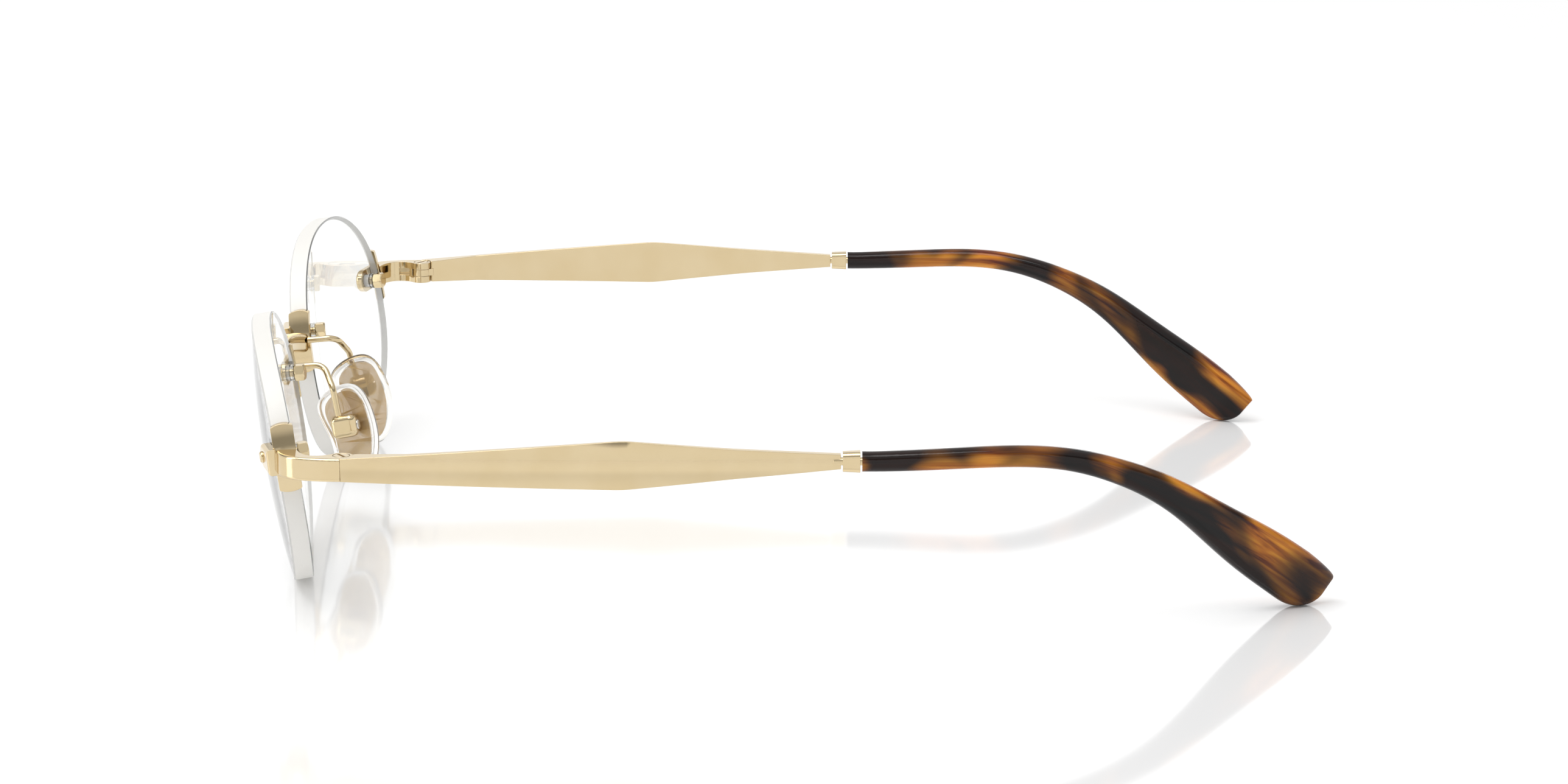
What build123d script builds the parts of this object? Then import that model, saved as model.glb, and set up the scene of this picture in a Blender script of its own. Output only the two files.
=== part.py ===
from build123d import *
from math import copysign, cos, pi, radians, sin, sqrt
import os

# Rimless eyeglasses, in millimetres. +X is the wearer's left, +Y runs back along the
# temples and +Z is up. The left half is modelled and mirrored. While it is being made
# the hinge screws stand at Y = 0 and the lenses' lowest edge is near Z = 0.

# ---- lenses
lens_width = 51.2
lens_height = 36.5
lens_squareness = 2.21  # exponent of the oval: 2 is an ellipse, more is squarer
lens_gap = 19.3  # between the nasal edges of the two lenses
lens_thickness = 2.8
lens_radius = 128.0  # front and back curve
lens_tilt = 7.9  # pantoscopic tilt, degrees
face_wrap = 6.5  # how far each lens turns round the face, degrees
lens_bevel = 0.2

# ---- rimless mounts: tab in front, bar on the edge, bush, washer and nut behind
hole_inset = {1: 3.5, -1: 4.1}  # lens edge to hole: temple side, nose side
hole_height = {1: 4.2, -1: 5.35}  # above the middle of the lens: temple side, nose side
bush_radius = 1.0
bush_flange_radius = 1.2
bush_flange_thickness = 0.45
screw_radius = 0.6
screw_clearance = 0.05
screw_head_radius = 0.8
screw_head_height = 0.35
washer_radius = 1.25
washer_thickness = 0.22
nut_across_flats = 2.25
nut_length = 1.55
nut_chamfer = 0.25
tab_radius = 1.8
tab_thickness = 1.3
seat_gap = 0.03  # between a lens and the metal round it
bar_thickness = 0.85
bar_width = 3.1
bar_end_rise = 0.35  # how far the ends of an edge bar bow out
temporal_bar_length = 9.0
temporal_bar_middle = 4.35  # above the middle of the lens
nasal_bar_length = 9.2
nasal_bar_middle = 4.6
bridge_root = 4.6  # above the middle of the lens
arm_root = 4.9

# ---- bridge
bridge_depth = 2.3
bridge_height = 2.9
bridge_arch = 1.3  # rise of its middle over its ends
bridge_reach = 1.7  # how far its middle stands forward

# ---- nose pads
pad_width = 8.0
pad_length = 14.8
pad_thickness = 2.0
pad_rim = 1.0  # clear width round the plate
pad_plate_thickness = 0.4
pad_spread = 12.8  # pad screw, from the middle plane
pad_advance = 4.8  # pad screw, in front of the hinge screws
pad_drop = 7.1  # pad screw, below the temple line
pad_splay = 12.0  # the front edges of the pads stand closer, degrees
pad_flare = 9.0  # and so do their top ends
pad_lean = 12.0  # the lower end leans back
pad_offset = 1.5  # from the pad screw to the back of the pad
box_width = 3.8
box_height = 3.3
box_depth = 2.4
box_back = 0.7  # how far the box reaches towards the pad
box_round = 0.85
box_slot = 1.2
box_slot_height = 2.3
tongue_width = 1.1
tongue_radius = 0.85
pad_screw_radius = 0.4
pad_screw_head_radius = 0.72
wire_radius = 0.47
wire_bend = 2.0

# ---- hinge
hinge_overhang = 3.3  # hinge screw, outboard of the lens
hinge_setback = 14.1  # hinge screw, behind the front of the lens
hinge_rise = 4.6  # temple line, above the middle of the lens
hinge_height = 3.2
hinge_radius = 1.53
hinge_gap = 0.05
tongue_height = 1.1
tongue_gap = 0.04
hinge_screw_radius = 0.6
hinge_head_radius = 1.15
hinge_head_height = 0.45
hinge_skin = 2.2  # hinge screw to the outer face
window_width = 1.75
window_height = 1.15

# ---- temples
blade_length = 67.3
blade_thickness = 1.15
blade_root = 9.0  # where the thick part at the hinge has run out
blade_peak = 38.0  # where the blade is tallest
blade_peak_height = 6.7
blade_end_height = 1.95
peak_round = 18.0  # how softly the edges turn at the peak
waist_round = 90.0  # and halfway down to the ferrule
blade_rise = 1.4  # climb of the middle line from hinge to ferrule
blade_bulge = 1.7  # how far the blade bows out past the hinge
bow_radius = 420.0
crown_radius = 10.0
collar_gap = 0.25
ferrule_length = 2.35
ferrule_height = 2.75
ferrule_width = 2.3
core_radius = 0.55
core_gap = 0.03
tip_thickness = 2.7
tip_length = 66.2
tip_fattening = 0.2  # share by which the far end is thicker
tip_drop = 22.35
tip_sweep = 14.8
core_share = 0.62  # how far the wire runs into the tip
# points of the tip's middle line: along, down and inwards, as shares of the three sizes above
tip_stations = (
    (0.0, 0.0, 0.0),
    (0.22, -0.02, 0.02),
    (0.33, -0.022, 0.06),
    (0.43, 0.015, 0.135),
    (0.53, 0.107, 0.23),
    (0.635, 0.265, 0.365),
    (0.74, 0.5, 0.552),
    (0.845, 0.74, 0.75),
    (0.9, 0.865, 0.845),
)
# half heights of the tip, evenly spaced along it
tip_half_heights = (
    (1.35, 1.38, 1.41, 1.43, 1.45)
    + (1.47, 1.53, 1.66, 1.87, 2.16)
    + (2.54, 3.03, 3.53, 3.85, 3.95)
)
tip_end_length = 5.7  # the rounded end beyond the middle line
tip_end_narrowing = 2.6  # loss of half height over the rounded end
tip_end_lift = 2.0  # how far the end's middle rises, so its lower edge is the rounder one
tip_end_thinning = 1.15

hinge_x = lens_gap / 2 + lens_width / 2 * (1 + cos(radians(face_wrap))) + hinge_overhang
lens_z = lens_height / 2 * cos(radians(lens_tilt))
hinge_z = lens_z + hinge_rise
lens_frame = (
    Pos(lens_gap / 2 + lens_width / 2, -hinge_setback, lens_z)
    * Rot(Z=face_wrap)
    * Rot(X=lens_tilt)
)
edge_y = lens_radius - sqrt(lens_radius**2 - lens_width**2 / 4) + lens_thickness / 2
blade_end_z = hinge_z + blade_rise
bow_centre = Pos(
    hinge_x + hinge_skin + blade_bulge - bow_radius, sqrt(2 * bow_radius * blade_bulge), 0
)
ferrule_start = blade_length + collar_gap
tip_start = ferrule_start + ferrule_length + collar_gap


# ---- solids from flat outlines
def prism_back(sketch, front, back):
    """A sketch in x (sideways) and z (up), made solid from y = front to y = back."""
    return Plane.XZ * (Pos(0, 0, -back) * extrude(sketch, back - front))


def prism_side(sketch, inner, outer):
    """A sketch in y (back) and z (up), made solid from x = inner to x = outer."""
    return Plane.YZ * (Pos(0, 0, inner) * extrude(sketch, outer - inner))


def prism_up(sketch, low, high):
    """A sketch in x and y, made solid from z = low to z = high."""
    return Pos(0, 0, low) * extrude(sketch, high - low)


def rod(radius, start, end):
    """A cylinder along z from start to end."""
    return Pos(0, 0, start) * extrude(Circle(radius), end - start)


def oval(grow=0.0):
    """The lens outline, grown all round."""
    points = []
    for step in range(32):
        across, up = cos(step * pi / 16), sin(step * pi / 16)
        x = (lens_width / 2 + grow) * copysign(abs(across) ** (2 / lens_squareness), across)
        z = (lens_height / 2 + grow) * copysign(abs(up) ** (2 / lens_squareness), up)
        points.append((x, z))
    return make_face(Spline(points, periodic=True))


def ball(front):
    """The sphere of the lens curve, with its front at y = front."""
    return Pos(0, front + lens_radius, 0) * Sphere(lens_radius)


# ---- rimless mounts, in the lens's own frame; side is +1 at the temple, -1 at the nose
def seat(side):
    """Where the hole meets the front of the lens: z back through it, x outwards."""
    x, z = side * (lens_width / 2 - hole_inset[side]), hole_height[side]
    drop = lens_radius - sqrt(lens_radius**2 - x**2 - z**2)
    origin = Vector(x, drop, z)
    inward = (Vector(0, lens_radius, 0) - origin).normalized()
    outward = Vector(side, 0, 0) - inward * (side * inward.X)
    return Plane(origin=origin, x_dir=outward, z_dir=inward)


through = lens_thickness * seat(1).z_dir.Y
tab_front = -seat_gap - tab_thickness
flange_end = through + seat_gap + bush_flange_thickness
washer_end = flange_end + washer_thickness
nut_end = washer_end + nut_length


def edge_bar(side, length, middle):
    """The bar that lies along the ground edge of the lens."""
    front, back = edge_y - bar_width / 2, edge_y + bar_width / 2
    low, high = middle - length / 2, middle + length / 2
    end_middle = (front + back) / 2
    outline = (
        Line((front, high - bar_end_rise), (front, low + bar_end_rise))
        + ThreePointArc((front, low + bar_end_rise), (end_middle, low), (back, low + bar_end_rise))
        + Line((back, low + bar_end_rise), (back, high - bar_end_rise))
        + ThreePointArc((back, high - bar_end_rise), (end_middle, high), (front, high - bar_end_rise))
    )
    face = make_face(outline)
    face = fillet(face.vertices(), 0.3)
    reach = sorted((side * (lens_width / 2 - 4), side * (lens_width / 2 + 4)))
    band = prism_side(face, *reach) & prism_back(oval(seat_gap + bar_thickness), -5, 12)
    return band - prism_back(oval(seat_gap), -6, 13)


def front_tab(side):
    """The tab in front of the lens that the screw goes through, joined to the edge bar."""
    reach = hole_inset[side] + seat_gap + bar_thickness
    plate = Circle(tab_radius) + Pos(reach / 2, 0) * Rectangle(reach, 2 * tab_radius)
    tab = extrude(plate, tab_thickness)
    tab = fillet(tab.edges().group_by(Axis.Z)[0], 0.5)
    corner = Pos(reach - bar_thickness / 2, 0, tab_thickness + 0.2) * Box(
        bar_thickness, 2 * tab_radius, 1.2
    )
    tab = seat(side) * (Pos(0, 0, tab_front) * tab)
    corner = seat(side) * (Pos(0, 0, tab_front) * corner)
    corner = corner & prism_back(oval(seat_gap + bar_thickness), -5, 12)
    return tab + (corner - prism_back(oval(seat_gap), -6, 13))


def screw_hole(side):
    return seat(side) * rod(screw_radius + screw_clearance, -5, 8)


def lens():
    blank = (prism_back(oval(), -2, 12) & ball(0)) - ball(lens_thickness)
    blank = chamfer(blank.edges(), lens_bevel)
    for side in (1, -1):
        blank -= seat(side) * rod(bush_radius + seat_gap, -5, 8)
    return blank


def lens_screw():
    """Domed head in front of the tab, shank into the nut."""
    head = Pos(0, 0, tab_front) * Rot(X=180) * extrude(Circle(screw_head_radius), screw_head_height)
    head = fillet(head.edges().group_by(Axis.Z)[0], 0.3)
    return head + rod(screw_radius, tab_front, nut_end - 0.4)


def lens_bush():
    sleeve = rod(bush_radius, seat_gap, through + seat_gap)
    flange = rod(bush_flange_radius, through + seat_gap, flange_end)
    return sleeve + flange - rod(screw_radius + screw_clearance, -1, 8)


def lens_washer():
    ring = rod(washer_radius, flange_end, washer_end)
    return ring - rod(screw_radius + screw_clearance, -1, 8)


def lens_nut():
    corners = nut_across_flats / 2 / cos(radians(30))
    hexagon = extrude(RegularPolygon(corners, 6), nut_length)
    turned = extrude(Circle(corners), nut_length)
    turned = chamfer(turned.edges(), nut_chamfer)
    nut = Pos(0, 0, washer_end) * (hexagon & turned)
    return nut - rod(screw_radius + screw_clearance, washer_end - 1, nut_end - 0.35)


# ---- bridge, whole
def half_bridge():
    return lens_frame * (
        edge_bar(-1, nasal_bar_length, nasal_bar_middle) + front_tab(-1) - screw_hole(-1)
    )


def bridge():
    """Two mounts joined by an arched bar of oblong section."""
    bar_x = -lens_width / 2 - seat_gap - bar_thickness / 2
    root = (lens_frame * Pos(bar_x, edge_y, bridge_root)).position
    arch = ThreePointArc(
        (-root.X, root.Y, root.Z),
        (0, root.Y - bridge_reach, root.Z + bridge_arch),
        (root.X, root.Y, root.Z),
    )
    section = Plane(origin=arch @ 0, z_dir=arch % 0, x_dir=(0, 1, 0)) * RectangleRounded(
        bridge_depth, bridge_height, 0.6
    )
    bar = sweep(section, arch)
    half = half_bridge()
    room = lens_frame * prism_back(oval(seat_gap), -5, 12)
    bar = bar - room - mirror(room, Plane.YZ)
    return half + mirror(half, Plane.YZ) + bar


# ---- end piece: mount, arm and hinge knuckles
def endpiece():
    mount = edge_bar(1, temporal_bar_length, temporal_bar_middle) + front_tab(1)
    mount = lens_frame * (mount - screw_hole(1))
    edge_x = lens_width / 2 + seat_gap + bar_thickness / 2
    front = (lens_frame * Pos(edge_x, edge_y - bar_width / 2 + 0.15, hole_height[1])).position
    back = (lens_frame * Pos(edge_x, edge_y + bar_width / 2 - 0.15, hole_height[1])).position
    face_x = hinge_x + hinge_skin
    blend = Vector(-0.9, -sqrt(hinge_radius**2 - 0.81))
    outer = Spline((front.X, front.Y), (face_x, -hinge_gap), tangents=((1, 0.12), (0.04, 1)))
    inner = Spline(
        (hinge_x + blend.X, blend.Y), (hinge_x + 0.15, -3.4), (back.X, back.Y),
        tangents=((0.9, -0.8), (-1, -0.25)),
    )
    plan = make_face(
        outer
        + Line((face_x, -hinge_gap), (hinge_x, -hinge_gap))
        + Line((hinge_x, -hinge_gap), (hinge_x + blend.X, blend.Y))
        + inner
        + Line((back.X, back.Y), (front.X, front.Y))
    )
    low, high = hinge_z - hinge_height / 2, hinge_z + hinge_height / 2
    arm = prism_up(plan, low, high)
    rims = arm.edges().filter_by_position(Axis.Z, low, low) + arm.edges().filter_by_position(
        Axis.Z, high, high
    )
    arm = fillet(rims.sort_by(SortBy.LENGTH)[-2:], 0.35)
    room = lens_frame * prism_back(oval(seat_gap), -5, 12)
    screw = Pos(hinge_x, 0, 0)
    piece = mount + (arm - room) + screw * rod(hinge_radius, low, high)
    window_y = -hinge_radius - hinge_gap - 0.3 - window_width / 2
    piece -= Pos(hinge_x - 1.2, window_y, hinge_z) * Box(5, window_width, window_height)
    slot = tongue_height / 2 + tongue_gap
    piece -= screw * rod(hinge_radius + hinge_gap, hinge_z - slot, hinge_z + slot)
    piece -= screw * rod(hinge_screw_radius + hinge_gap, low - 1, high + 1)
    return piece - screw * rod(hinge_head_radius + hinge_gap, high - hinge_head_height, high + 1)


def hinge_screw():
    low, high = hinge_z - hinge_height / 2, hinge_z + hinge_height / 2
    shank = rod(hinge_screw_radius, low + 0.05, high - hinge_head_height)
    head = rod(hinge_head_radius, high - hinge_head_height + 0.02, high)
    head = fillet(head.edges().group_by(Axis.Z)[-1], 0.12)
    slot = Pos(0, 0, high) * Rot(Z=35) * Box(2 * hinge_head_radius - 0.5, 0.36, 0.5)
    return Pos(hinge_x, 0, 0) * (shank + rod(hinge_screw_radius, low + 0.1, high - 0.2) + head - slot)


# ---- temple: crowned blade, hinge tongue and core wire
def blade_middle(y):
    """The middle of the blade's thickness at a distance behind the hinge."""
    lean = (y - bow_centre.position.Y) / bow_radius
    return bow_centre.position.X + bow_radius * cos(lean) - blade_thickness / 2


def end_x():
    """The line the wire, collar and tip start on."""
    return blade_middle(blade_length) + 0.15


def tip_axis():
    """The middle line of the tip: level, then down behind the ear and inwards."""
    points = []
    for along, drop, inward in tip_stations:
        points.append(
            (
                end_x() - inward * tip_sweep,
                tip_start + along * tip_length,
                blade_end_z - drop * tip_drop,
            )
        )
    return Spline(*points, tangents=((0, 1, 0), (-0.3, 0.72, -0.62)))


def core_path():
    axis = tip_axis()
    return Line((end_x(), blade_length - 1, blade_end_z), axis @ 0) + axis.trim(0, core_share)


def core_wire(radius):
    path = core_path()
    section = Plane(origin=path @ 0, z_dir=path % 0) * Circle(radius)
    return sweep(section, path)


def temple():
    low, high = hinge_z - hinge_height / 2, hinge_z + hinge_height / 2
    half_end = blade_end_height / 2
    peak_z = hinge_z + blade_rise * blade_peak / blade_length + 0.2
    waist_y = (blade_peak + blade_length) / 2
    waist_z = (peak_z + blade_end_z) / 2
    waist = (blade_peak_height + blade_end_height) / 4 - 0.15
    outline = make_face(
        Polyline(
            (-hinge_gap / 2, high),
            (blade_peak, peak_z + blade_peak_height / 2),
            (waist_y, waist_z + waist),
            (blade_length, blade_end_z + half_end),
            (blade_length, blade_end_z - half_end),
            (waist_y, waist_z - waist),
            (blade_peak, peak_z - blade_peak_height / 2),
            (-hinge_gap / 2, low),
            close=True,
        )
    )
    for along, curve in ((blade_peak, peak_round), (waist_y, waist_round)):
        corners = outline.vertices().filter_by_position(Axis.X, along - 0.1, along + 0.1)
        outline = fillet(corners, curve)
    side_room = prism_side(outline, hinge_x - 6, hinge_x + 10)

    # a crowned strip on the bow's radius
    reach = blade_peak_height * 0.58
    drop = crown_radius - sqrt(crown_radius**2 - reach**2)
    profile = make_face(
        Polyline(
            (bow_radius - drop, reach), (bow_radius - blade_thickness, reach),
            (bow_radius - blade_thickness, -reach), (bow_radius - drop, -reach),
        )
        + ThreePointArc((bow_radius - drop, -reach), (bow_radius, 0), (bow_radius - drop, reach))
    )
    span = (blade_length + 4) / bow_radius * 180 / pi
    start = -(bow_centre.position.Y + 2) / bow_radius * 180 / pi
    strip = Rot(Z=start) * revolve(Plane.XZ * profile, Axis.Z, span)
    strip = bow_centre * Pos(0, 0, hinge_z + blade_rise / 2) * strip

    # the blade is thicker where it meets the hinge
    root_y = hinge_radius + 0.2
    root = make_face(
        Polyline(
            (hinge_x - 0.2, root_y),
            (blade_middle(blade_root) - blade_thickness / 2 + 0.02, blade_root),
            (blade_middle(blade_root), blade_root),
            (hinge_x + hinge_skin - 0.6, -hinge_gap / 2),
            (hinge_x + 0.2, -hinge_gap / 2),
            close=True,
        )
    )
    blade = (strip + prism_up(root, low - 1, high + 1)) & side_room
    screw = Pos(hinge_x, 0, 0)
    blade -= screw * rod(hinge_radius + hinge_gap, low - 2, high + 2)
    blade -= Pos(hinge_x - 5, 0, hinge_z) * Box(10, 2 * root_y, hinge_height + 4)

    # the tongue turns between the two knuckles of the end piece
    neck = make_face(
        Polyline(
            (hinge_x - hinge_radius + 0.1, 0.3), (hinge_x - 0.2, root_y + 0.3),
            (hinge_x + hinge_radius - 0.1, root_y + 0.3), (hinge_x + hinge_radius - 0.1, 0.3),
            close=True,
        )
    )
    half = tongue_height / 2
    tongue = screw * rod(hinge_radius - 0.03, hinge_z - half, hinge_z + half)
    tongue += prism_up(neck, hinge_z - half, hinge_z + half)
    tongue -= screw * rod(hinge_screw_radius + hinge_gap, low, high)
    return blade + tongue + core_wire(core_radius)


def ferrule():
    """A collar on the core wire that flares a little towards the tip."""
    sections = []
    for y, grow in ((ferrule_start, -0.1), (ferrule_start + ferrule_length, 0.1)):
        face = RectangleRounded(ferrule_width + grow, ferrule_height + grow, 0.7)
        plane = Plane(origin=(end_x(), y, blade_end_z), x_dir=(1, 0, 0), z_dir=(0, 1, 0))
        sections.append(plane * face)
    return loft(sections) - core_wire(core_radius + core_gap)


def temple_tip():
    """A flat paddle that widens behind the ear. Its section is a rounded oblong."""
    axis = tip_axis()

    def section(share, half, thin=0.0, beyond=0.0, lift=0.0):
        thick = tip_thickness * (1 + tip_fattening * share) - thin
        along = axis % share
        across = along.cross(Vector(0, 0, 1)).normalized()
        origin = axis @ share + along * beyond + across.cross(along) * lift
        plane = Plane(origin=origin, x_dir=across, z_dir=along)
        return plane * RectangleRounded(thick, 2 * half, 0.44 * min(thick, 2 * half))

    last = len(tip_half_heights) - 1
    paddle = loft([section(index / last, half) for index, half in enumerate(tip_half_heights)])
    cap = []
    for step in range(7):
        turn = radians(14 * step)
        closing = 1 - cos(turn)
        half = tip_half_heights[-1] - tip_end_narrowing * closing
        thin = 2 * tip_end_thinning * closing
        cap.append(section(1, half, thin, tip_end_length * sin(turn), tip_end_lift * closing))
    return paddle + loft(cap) - core_wire(core_radius + core_gap)


# ---- nose pads
pad_frame = (
    Pos(pad_spread, -pad_advance, hinge_z - pad_drop)
    * Rot(Z=-pad_splay)
    * Rot(Y=-pad_flare)
    * Rot(X=pad_lean)
)


def pad_outline(shrink=0.0):
    """A leaf with a blunt top corner at the front; it narrows at the foot."""
    half = pad_width / 2 - shrink
    top, foot = pad_length * 0.42 - shrink, shrink - pad_length * 0.58
    return make_face(
        Spline(
            (-half, top * 0.72), (-half * 0.25, top * 0.97), (half * 0.35, top * 0.95),
            (half * 0.93, top * 0.2), (half * 0.8, foot * 0.6), (half * 0.1, foot),
            (-half * 0.55, foot * 0.85), (-half * 0.85, foot * 0.2), periodic=True,
        )
    )


def pad_plate():
    middle = -pad_offset - pad_thickness / 2
    half = pad_plate_thickness / 2
    plate = prism_side(pad_outline(pad_rim), middle - half, middle + half)
    reach = -middle
    post = Pos(middle / 2, 0, 0) * Box(reach, tongue_width, 2 * tongue_radius)
    eye = Rot(X=90) * extrude(Circle(tongue_radius), tongue_width / 2, both=True)
    bore = Rot(X=90) * extrude(Circle(pad_screw_radius + 0.04), tongue_width, both=True)
    return plate + post + eye - bore


def nose_pad():
    body = prism_side(pad_outline(), -pad_offset - pad_thickness, -pad_offset)
    body = fillet(body.edges(), 0.8)
    return body - pad_plate()


def pad_block():
    block = Pos(box_depth / 2 - box_back, 0, 0) * Box(box_depth, box_width, box_height)
    return fillet(block.edges(), box_round)


def pad_box():
    """A rounded box on the wire's end, slotted for the plate's tongue."""
    slot = Pos(tongue_radius + 0.1 - 2, 0, 0) * Box(4, box_slot, box_slot_height)
    bore = Rot(X=90) * extrude(Circle(pad_screw_radius + 0.04), box_width, both=True)
    recess = Pos(0, box_width / 2, 0) * Rot(X=90) * extrude(Circle(pad_screw_head_radius + 0.04), 0.3)
    return pad_block() - slot - bore - recess


def pad_screw():
    lie = Rot(X=90)
    shank = lie * extrude(Circle(pad_screw_radius), box_width - 0.35)
    head = lie * extrude(Circle(pad_screw_head_radius), 0.42)
    shank = Pos(0, box_width / 2 - 0.2, 0) * shank
    head = Pos(0, box_width / 2 + 0.15, 0) * head
    head = fillet(head.edges().group_by(Axis.Y)[-1], 0.12)
    return shank + head


def pad_arm(bridge_piece):
    """A wire from the back of the nasal edge bar, over and down to the pad box."""
    bar_x = -lens_width / 2 - seat_gap - bar_thickness / 2
    start = (lens_frame * Pos(bar_x, edge_y + bar_width / 2 - 0.3, arm_root)).position
    end = (pad_frame * Pos(0.6, -0.6, box_height / 2 - 0.5)).position
    above = (pad_frame * Pos(0.4, -0.8, box_height / 2 + 4.2)).position
    knee = Vector(start.X + 0.15, above.Y - 1.6, start.Z + 0.35)
    path = FilletPolyline(tuple(start), tuple(knee), tuple(above), tuple(end), radius=wire_bend)
    section = Plane(origin=path @ 0, z_dir=path % 0) * Circle(wire_radius)
    return sweep(section, path) - pad_frame * pad_block() - bridge_piece


# ---- everything, left side first
whole_bridge = bridge()
left = {
    "lens": lens_frame * lens(),
    "endpiece": endpiece(),
    "hinge_screw": hinge_screw(),
    "temple": temple(),
    "ferrule": ferrule(),
    "temple_tip": temple_tip(),
    "nose_pad": pad_frame * nose_pad(),
    "pad_plate": pad_frame * pad_plate(),
    "pad_box": pad_frame * pad_box(),
    "pad_screw": pad_frame * pad_screw(),
    "pad_arm": pad_arm(whole_bridge),
}
for side, place in ((1, "temporal"), (-1, "nasal")):
    stack = lens_frame * seat(side).location
    left["lens_screw_" + place] = stack * lens_screw()
    left["lens_bush_" + place] = stack * lens_bush()
    left["lens_washer_" + place] = stack * lens_washer()
    left["lens_nut_" + place] = stack * lens_nut()

pieces = {"bridge": whole_bridge}
for name, piece in left.items():
    pieces[name + "_left"] = piece
    pieces[name + "_right"] = mirror(piece, Plane.YZ)

# the frame's origin is under the middle of the whole, on the level it stands on
whole = Compound([solid for piece in pieces.values() for solid in piece.solids()]).bounding_box()
to_frame = Pos(0, -whole.center().Y, -whole.min.Z)
os.makedirs("parts", exist_ok=True)
for name, piece in pieces.items():
    export_step(to_frame * piece, "parts/" + name + ".step")
print("hinge screw", (to_frame * Pos(hinge_x, 0, hinge_z)).position)
screw_line = (pad_frame * Pos(0, 1, 0)).position - pad_frame.position
print("pad screw", (to_frame * pad_frame).position, screw_line)
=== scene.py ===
import math

import bpy
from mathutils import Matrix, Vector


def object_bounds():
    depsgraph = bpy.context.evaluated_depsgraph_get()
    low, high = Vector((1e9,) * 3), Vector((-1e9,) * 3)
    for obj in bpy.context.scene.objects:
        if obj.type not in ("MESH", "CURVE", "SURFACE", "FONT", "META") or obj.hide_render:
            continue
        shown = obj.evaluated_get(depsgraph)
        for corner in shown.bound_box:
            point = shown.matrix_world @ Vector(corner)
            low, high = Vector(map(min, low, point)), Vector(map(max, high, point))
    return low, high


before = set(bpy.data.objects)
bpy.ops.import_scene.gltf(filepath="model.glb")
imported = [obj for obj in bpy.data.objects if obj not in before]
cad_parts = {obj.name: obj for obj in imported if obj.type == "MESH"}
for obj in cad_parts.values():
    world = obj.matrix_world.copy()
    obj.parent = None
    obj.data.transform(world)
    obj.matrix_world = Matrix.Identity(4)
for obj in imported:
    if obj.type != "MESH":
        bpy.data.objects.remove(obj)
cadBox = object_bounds()
print("frame loaded:", len(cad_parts), "nodes")


def linear(hexColour):
    # sRGB hex to linear light
    channels = []
    for start in (1, 3, 5):
        value = int(hexColour[start:start + 2], 16) / 255
        channels.append(value / 12.92 if value <= 0.04045 else ((value + 0.055) / 1.055) ** 2.4)
    return (*channels, 1.0)


def addNode(tree, kind, settings=None, links=None):
    # settings are node attributes or input values, links are input names to output sockets
    node = tree.nodes.new(kind)
    for key, value in (settings or {}).items():
        if key in node.inputs:
            node.inputs[key].default_value = value
        else:
            setattr(node, key, value)
    for key, source in (links or {}).items():
        tree.links.new(source, node.inputs[key])
    return node


def ramp(tree, source, stops, smooth="LINEAR"):
    node = addNode(tree, "ShaderNodeValToRGB", links={"Fac": source})
    node.color_ramp.interpolation = smooth
    elements = node.color_ramp.elements
    while len(elements) < len(stops):
        elements.new(0.5)
    for element, (place, colour) in zip(elements, stops):
        element.position = place
        element.color = linear(colour) if isinstance(colour, str) else (colour, colour, colour, 1)
    return node.outputs["Color"]


def newMaterial(name):
    material = bpy.data.materials.new(name)
    material.use_nodes = True
    tree = material.node_tree
    tree.nodes.clear()
    output = addNode(tree, "ShaderNodeOutputMaterial")
    return material, tree, output


def finishSurface(tree, output, shader):
    tree.links.new(shader.outputs[0], output.inputs["Surface"])


# Pale gold electroplate over polished nickel silver. The colour is a desaturated straw, and the
# buffing leaves it very slightly uneven, so reflections are soft at their edges.
goldPlate = {
    "light": "#D6C39E",
    "deep": "#D2BE97",
    "patchSize": 0.006,  # uneven buffing
    "buffSize": 0.00018,  # buffing lines, drawn coarser than the real ones so they show
    "buffStretch": (1, 0.06, 1),  # the lines run along the temples
    "buffDepth": 0.00001,
    "roughness": (0.08, 0.12),
    "edgeRound": 0.00012,
}
# The plates in the nose pads are blasted before plating, so the gold is deeper and satin.
satinGold = {
    "light": "#E3C68C",
    "deep": "#DBBA7C",
    "patchSize": 0.004,
    "buffSize": 0.00025,  # blasting grit, drawn coarser than the real marks
    "buffStretch": (1, 0.06, 1),
    "buffDepth": 0.00001,
    "roughness": (0.32, 0.4),
    "edgeRound": 0.00005,
}


def makeGold(name, values):
    material, tree, output = newMaterial(name)
    place = addNode(tree, "ShaderNodeTexCoord").outputs["Object"]
    patches = addNode(
        tree, "ShaderNodeTexNoise", {"Scale": 1 / values["patchSize"], "Detail": 3.0}, {"Vector": place}
    )
    stretch = addNode(tree, "ShaderNodeMapping", {"Scale": values["buffStretch"]}, {"Vector": place})
    lines = addNode(
        tree, "ShaderNodeTexNoise", {"Scale": 1 / values["buffSize"], "Detail": 2.0},
        {"Vector": stretch.outputs[0]},
    )
    colour = ramp(tree, patches.outputs[0], ((0.35, values["deep"]), (0.65, values["light"])))
    low, high = values["roughness"]
    rough = addNode(
        tree, "ShaderNodeMapRange", {"From Min": 0.3, "From Max": 0.7, "To Min": low, "To Max": high},
        {"Value": patches.outputs[0]},
    )
    edge = addNode(tree, "ShaderNodeBevel", {"samples": 4, "Radius": values["edgeRound"]})
    bump = addNode(
        tree, "ShaderNodeBump", {"Strength": 0.06, "Distance": values["buffDepth"]},
        {"Height": lines.outputs[0], "Normal": edge.outputs[0]},
    )
    shader = addNode(
        tree, "ShaderNodeBsdfPrincipled", {"Metallic": 1.0},
        {"Base Color": colour, "Roughness": rough.outputs[0], "Normal": bump.outputs[0]},
    )
    finishSurface(tree, output, shader)
    return material


# Nickel-plated screw, turned and tumbled: bright grey with faint scuffs.
nickelPlate = {"bright": "#DEDBD6", "dull": "#C6C2BC", "scuffSize": 0.0004, "roughness": (0.12, 0.3)}


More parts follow.
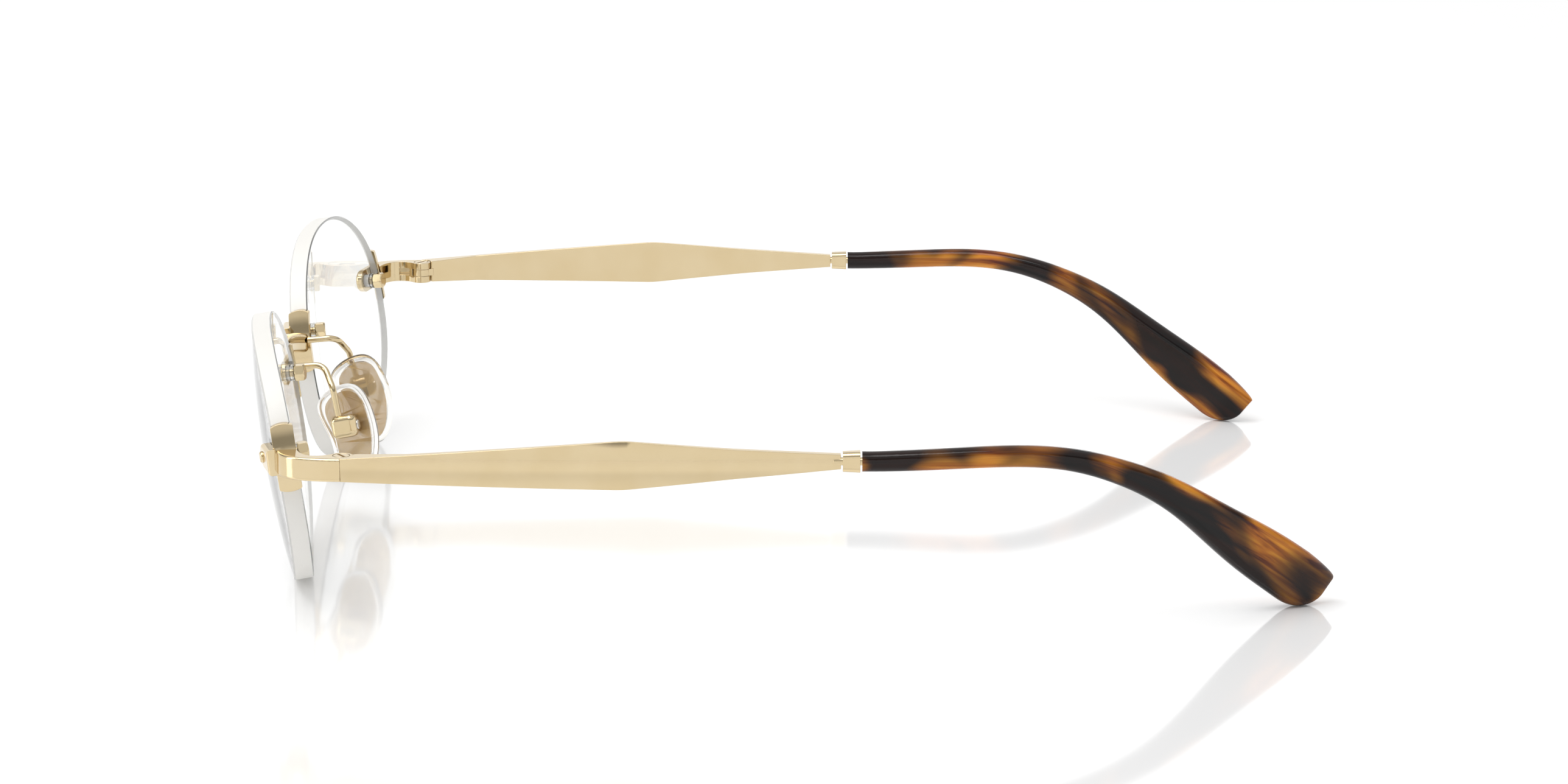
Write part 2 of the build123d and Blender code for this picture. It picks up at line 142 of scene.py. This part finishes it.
def makeNickel(name, values):
    material, tree, output = newMaterial(name)
    place = addNode(tree, "ShaderNodeTexCoord").outputs["Object"]
    scuffs = addNode(
        tree, "ShaderNodeTexNoise", {"Scale": 1 / values["scuffSize"], "Detail": 4.0}, {"Vector": place}
    )
    colour = ramp(tree, scuffs.outputs[0], ((0.4, values["bright"]), (0.7, values["dull"])))
    low, high = values["roughness"]
    rough = addNode(
        tree, "ShaderNodeMapRange", {"From Min": 0.4, "From Max": 0.7, "To Min": low, "To Max": high},
        {"Value": scuffs.outputs[0]},
    )
    shader = addNode(
        tree, "ShaderNodeBsdfPrincipled", {"Metallic": 1.0},
        {"Base Color": colour, "Roughness": rough.outputs[0]},
    )
    finishSurface(tree, output, shader)
    return material


# Cast optical resin, both faces polished and the rim ground on a wheel: the faces vanish, while
# the rim is a frosted warm white with fine grinding lines round it.
opticalResin = {
    "face": "#FDFEFD",
    "rim": "#EFEDE8",
    "grindPitch": 0.00015,  # drawn coarser than a real wheel's marks
    "grindDepth": 0.00002,
    "rimTurn": (0.55, 0.85),  # how squarely the surface faces forward, from rim to face
    "faceRoughness": 0.0,
    "rimRoughness": 0.45,
    "rimClear": 0.2,
}


def makeLens(name, values, tilt, wrap):
    material, tree, output = newMaterial(name)
    coordinates = addNode(tree, "ShaderNodeTexCoord")
    # the rim is where the surface turns away from the lens's own forward direction
    facing = addNode(
        tree, "ShaderNodeVectorMath", {"operation": "DOT_PRODUCT"}, {0: coordinates.outputs["Normal"]}
    )
    facing.inputs[1].default_value = (
        -math.sin(wrap) * math.cos(tilt), math.cos(wrap) * math.cos(tilt), math.sin(tilt)
    )
    turned = addNode(tree, "ShaderNodeMath", {"operation": "ABSOLUTE"}, {0: facing.outputs["Value"]})
    square, flat = values["rimTurn"]
    rim = addNode(
        tree, "ShaderNodeMapRange", {"From Min": square, "From Max": flat, "To Min": 1.0, "To Max": 0.0},
        {"Value": turned.outputs[0]},
    )
    marks = addNode(
        tree, "ShaderNodeTexNoise", {"Scale": 1 / values["grindPitch"], "Detail": 2.0},
        {"Vector": coordinates.outputs["Object"]},
    )
    depth = addNode(
        tree, "ShaderNodeMath", {"operation": "MULTIPLY"}, {0: marks.outputs[0], 1: rim.outputs[0]}
    )
    bump = addNode(
        tree, "ShaderNodeBump", {"Strength": 0.25, "Distance": values["grindDepth"]},
        {"Height": depth.outputs[0]},
    )
    rough = addNode(
        tree, "ShaderNodeMapRange", {"To Min": values["faceRoughness"], "To Max": values["rimRoughness"]},
        {"Value": rim.outputs[0]},
    )
    colour = ramp(tree, rim.outputs[0], ((0.0, values["face"]), (1.0, values["rim"])))
    clearness = addNode(
        tree, "ShaderNodeMapRange", {"To Min": 1.0, "To Max": values["rimClear"]}, {"Value": rim.outputs[0]}
    )
    shader = addNode(
        tree, "ShaderNodeBsdfPrincipled", {"IOR": 1.5},
        {
            "Base Color": colour, "Roughness": rough.outputs[0], "Normal": bump.outputs[0],
            "Transmission Weight": clearness.outputs[0],
        },
    )
    finishSurface(tree, output, shader)
    return material


# Clear moulded plastics: hard nylon in the lens mounts and soft silicone in the nose pads. Both
# pass light; the silicone is a little cloudy, so its rim looks milky.
clearNylon = {
    "tint": "#FBFAF6",
    "cloud": "#F3F1EA",
    "cloudSize": 0.0008,
    "ior": 1.53,
    "roughness": (0.03, 0.08),
    "clear": 0.97,
}
clearSilicone = {
    "tint": "#FFFEFC",
    "cloud": "#FBF8F4",
    "cloudSize": 0.002,
    "ior": 1.41,
    "roughness": (0.02, 0.06),
    "clear": 0.98,
}


def makeClear(name, values):
    material, tree, output = newMaterial(name)
    place = addNode(tree, "ShaderNodeTexCoord").outputs["Object"]
    cloud = addNode(
        tree, "ShaderNodeTexNoise", {"Scale": 1 / values["cloudSize"], "Detail": 2.0}, {"Vector": place}
    )
    colour = ramp(tree, cloud.outputs[0], ((0.35, values["tint"]), (0.7, values["cloud"])))
    low, high = values["roughness"]
    rough = addNode(
        tree, "ShaderNodeMapRange", {"From Min": 0.3, "From Max": 0.7, "To Min": low, "To Max": high},
        {"Value": cloud.outputs[0]},
    )
    shader = addNode(
        tree, "ShaderNodeBsdfPrincipled", {"IOR": values["ior"], "Transmission Weight": values["clear"]},
        {"Base Color": colour, "Roughness": rough.outputs[0]},
    )
    finishSurface(tree, output, shader)
    return material


# Tortoiseshell acetate, cut from a laminated block and tumbled to a high gloss: amber with fine
# streaks that run along the tip, crossed by soft-edged black-brown patches; light glows in the amber.
tortoiseshell = {
    "honey": "#CE8A2C",
    "amber": "#A8621C",
    "red": "#5E2410",
    "brown": "#220D07",
    "black": "#080606",
    "patchSize": 0.0078,
    "patchStretch": (0.5, 0.62, 0.8),
    "patchEdge": 0.09,  # softness of a patch's edge
    "leftPlace": (0.104, 0.422, 0.136),  # where in the block each tip was cut
    "rightPlace": (0.026, 0.105, 0.034),
    "leftCover": 0.46,  # more of the left tip came out dark
    "rightCover": 0.52,
    "streakSize": 0.0011,
    "streakStretch": (0.35, 0.05, 1.0),
    "roughness": 0.05,
    "bendStart": 0.031,  # the block is cut along the bend, so the pattern follows it down
    "bendReach": 0.082,
    "bendDrop": 0.042,
    "polishScale": 900.0,
    "polishDepth": 0.00005,
    "glow": 0.4,
    "glowReach": (0.0015, 0.0006, 0.0002),
}


def makeTortoise(name, values, cut, level):
    material, tree, output = newMaterial(name)
    place = addNode(tree, "ShaderNodeTexCoord").outputs["Object"]
    parts = addNode(tree, "ShaderNodeSeparateXYZ", links={0: place})
    start, reach = values["bendStart"], values["bendReach"]
    drop = addNode(
        tree, "ShaderNodeMapRange",
        {
            "interpolation_type": "SMOOTHSTEP", "From Min": start, "From Max": start + reach,
            "To Min": 0.0, "To Max": values["bendDrop"],
        },
        {"Value": parts.outputs["Y"]},
    )
    height = addNode(
        tree, "ShaderNodeMath", {"operation": "ADD"}, {0: parts.outputs["Z"], 1: drop.outputs[0]}
    )
    straight = addNode(
        tree, "ShaderNodeCombineXYZ",
        links={"X": parts.outputs["X"], "Y": parts.outputs["Y"], "Z": height.outputs[0]},
    )
    place = straight.outputs[0]
    along = addNode(tree, "ShaderNodeMapping", {"Scale": values["streakStretch"]}, {"Vector": place})
    streaks = addNode(
        tree, "ShaderNodeTexNoise", {"Scale": 1 / values["streakSize"], "Detail": 3.0, "Distortion": 0.4},
        {"Vector": along.outputs[0]},
    )
    amber = ramp(
        tree, streaks.outputs[0], ((0.34, values["red"]), (0.48, values["amber"]), (0.66, values["honey"]))
    )
    wide = addNode(
        tree, "ShaderNodeMapping", {"Location": cut, "Scale": values["patchStretch"]}, {"Vector": place}
    )
    patches = addNode(
        tree, "ShaderNodeTexNoise",
        {"Scale": 1 / values["patchSize"], "Detail": 1.5, "Roughness": 0.4, "Distortion": 0.5},
        {"Vector": wide.outputs[0]},
    )
    dark = ramp(tree, streaks.outputs[0], ((0.35, values["black"]), (0.75, values["brown"])))
    soft = values["patchEdge"]
    cover = ramp(tree, patches.outputs[0], ((level - soft, 0.0), (level + soft, 1.0)), "EASE")
    colour = addNode(tree, "ShaderNodeMix", {"data_type": "RGBA"})
    for socket, source in ((0, cover), (6, amber), (7, dark)):
        tree.links.new(source, colour.inputs[socket])
    glow = ramp(tree, patches.outputs[0], ((level - soft, values["glow"]), (level, 0.0)))
    polish = addNode(
        tree, "ShaderNodeTexNoise", {"Scale": values["polishScale"], "Detail": 2.0}, {"Vector": place}
    )
    bump = addNode(
        tree, "ShaderNodeBump", {"Strength": 0.02, "Distance": values["polishDepth"]},
        {"Height": polish.outputs[0]},
    )
    shader = addNode(
        tree, "ShaderNodeBsdfPrincipled",
        {
            "IOR": 1.49, "Roughness": values["roughness"], "Specular IOR Level": 0.3,
            "Subsurface Radius": values["glowReach"], "Subsurface Scale": 1.0,
        },
        {"Base Color": colour.outputs[2], "Subsurface Weight": glow, "Normal": bump.outputs[0]},
    )
    finishSurface(tree, output, shader)
    return material


gold = makeGold("champagneGoldPlate", goldPlate)
satin = makeGold("blastedGoldPlate", satinGold)
nickel = makeNickel("nickelPlate", nickelPlate)
nylon = makeClear("mouldedNylon", clearNylon)
silicone = makeClear("mouldedSilicone", clearSilicone)
shellLeft = makeTortoise(
    "tortoiseshellAcetateLeft", tortoiseshell, tortoiseshell["leftPlace"], tortoiseshell["leftCover"]
)
shellRight = makeTortoise(
    "tortoiseshellAcetateRight", tortoiseshell, tortoiseshell["rightPlace"], tortoiseshell["rightCover"]
)
lensTilt, lensWrap = math.radians(7.9), math.radians(6.5)  # the same angles as the part's
lensLeft = makeLens("opticalResinLeft", opticalResin, lensTilt, lensWrap)
lensRight = makeLens("opticalResinRight", opticalResin, lensTilt, -lensWrap)

# how a node's name begins, and its finish; whatever isn't listed is gold
finishes = (
    ("lens_left", lensLeft),
    ("lens_right", lensRight),
    ("lens_bush", nylon),
    ("lens_washer", nylon),
    ("nose_pad", silicone),
    ("temple_tip_left", shellLeft),
    ("temple_tip_right", shellRight),
    ("pad_screw", nickel),
    ("pad_plate", satin),
)


for name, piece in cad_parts.items():
    material = next((finish for start, finish in finishes if name.startswith(start)), gold)
    if not piece.material_slots:
        piece.data.materials.append(material)
    for slot in piece.material_slots:
        slot.material = material
print("finishes given")


# Studio: a glossy white board and an even white surround with a grey band, which polished
# metal shows as soft darker stripes.
room = {
    "floor": "#F7F7F7",
    "floorSize": 6.0,
    "floorRoughness": (0.06, 0.09),
    "floorGap": 0.00005,  # under the lowest point of the glasses
    "floorIor": 2.0,
    "grainSize": 0.02,
    "bands": ((0.0, "horizon"), (0.3, "horizon"), (0.42, "dim"), (0.55, "dim"), (0.68, "top")),
    "horizon": 1.0,
    "dim": 0.33,
    "top": 0.75,
    "strength": 1.12,
}


def makeFloor(values):
    material, tree, output = newMaterial("glossWhiteBoard")
    place = addNode(tree, "ShaderNodeTexCoord").outputs["Object"]
    grain = addNode(
        tree, "ShaderNodeTexNoise", {"Scale": 1 / values["grainSize"], "Detail": 2.0}, {"Vector": place}
    )
    low, high = values["floorRoughness"]
    rough = addNode(
        tree, "ShaderNodeMapRange", {"To Min": low, "To Max": high}, {"Value": grain.outputs[0]}
    )
    shader = addNode(
        tree, "ShaderNodeBsdfPrincipled",
        {"Base Color": linear(values["floor"]), "IOR": values["floorIor"]},
        {"Roughness": rough.outputs[0]},
    )
    finishSurface(tree, output, shader)
    half = values["floorSize"] / 2
    mesh = bpy.data.meshes.new("floor")
    corners = [(-half, -half, 0), (half, -half, 0), (half, half, 0), (-half, half, 0)]
    mesh.from_pydata(corners, [], [(0, 1, 2, 3)])
    floor = bpy.data.objects.new("floor", mesh)
    floor.location.z = cadBox[0][2] - values["floorGap"]
    mesh.materials.append(material)
    bpy.context.collection.objects.link(floor)


def makeWorld(values):
    world = bpy.data.worlds.new("studio")
    bpy.context.scene.world = world
    world.use_nodes = True
    tree = world.node_tree
    tree.nodes.clear()
    output = addNode(tree, "ShaderNodeOutputWorld")
    place = addNode(tree, "ShaderNodeTexCoord").outputs["Generated"]
    parts = addNode(tree, "ShaderNodeSeparateXYZ", links={0: place})
    shade = ramp(tree, parts.outputs["Z"], [(rise, values[level]) for rise, level in values["bands"]])
    background = addNode(tree, "ShaderNodeBackground", {"Strength": values["strength"]}, {"Color": shade})
    tree.links.new(background.outputs[0], output.inputs["Surface"])


softboxes = {
    "overhead": {
        "place": (0.15, -0.25, 0.8), "target": (0, 0, 0), "width": 0.7, "height": 0.5, "power": 3.5
    },
    "frontStrip": {
        "place": (0.25, -0.75, 0.35), "target": (0, -0.06, 0.02), "width": 0.25, "height": 0.6, "power": 1.5
    },
}


def addSoftbox(name, values):
    data = bpy.data.lights.new(name, "AREA")
    data.shape = "RECTANGLE"
    data.size, data.size_y, data.energy = values["width"], values["height"], values["power"]
    light = bpy.data.objects.new(name, data)
    light.location = values["place"]
    aim = [end - start for end, start in zip(values["target"], values["place"])]
    flat = math.hypot(aim[0], aim[1])
    light.rotation_euler = (math.atan2(flat, -aim[2]), 0, math.atan2(aim[1], aim[0]) - math.pi / 2)
    bpy.context.collection.objects.link(light)


makeFloor(room)
makeWorld(room)
for name, values in softboxes.items():
    addSoftbox(name, values)
print("room lit")

# off the wearer's left, looking a little down and straight across
camera = {
    "place": (0.61146, 0.00027, 0.16451),
    "elevation": 13.52,
    "heading": 90,
    "focal": 96.3,
    "sensor": 36.0,
    "nearest": 0.01,
}
lensData = bpy.data.cameras.new("camera")
lensData.lens, lensData.sensor_width = camera["focal"], camera["sensor"]
lensData.clip_start = camera["nearest"]
cameraObject = bpy.data.objects.new("camera", lensData)
cameraObject.location = camera["place"]
cameraObject.rotation_euler = (
    math.radians(90 - camera["elevation"]), 0, math.radians(camera["heading"])
)
bpy.context.collection.objects.link(cameraObject)
bpy.context.scene.camera = cameraObject
bpy.context.scene.view_settings.view_transform = "Standard"
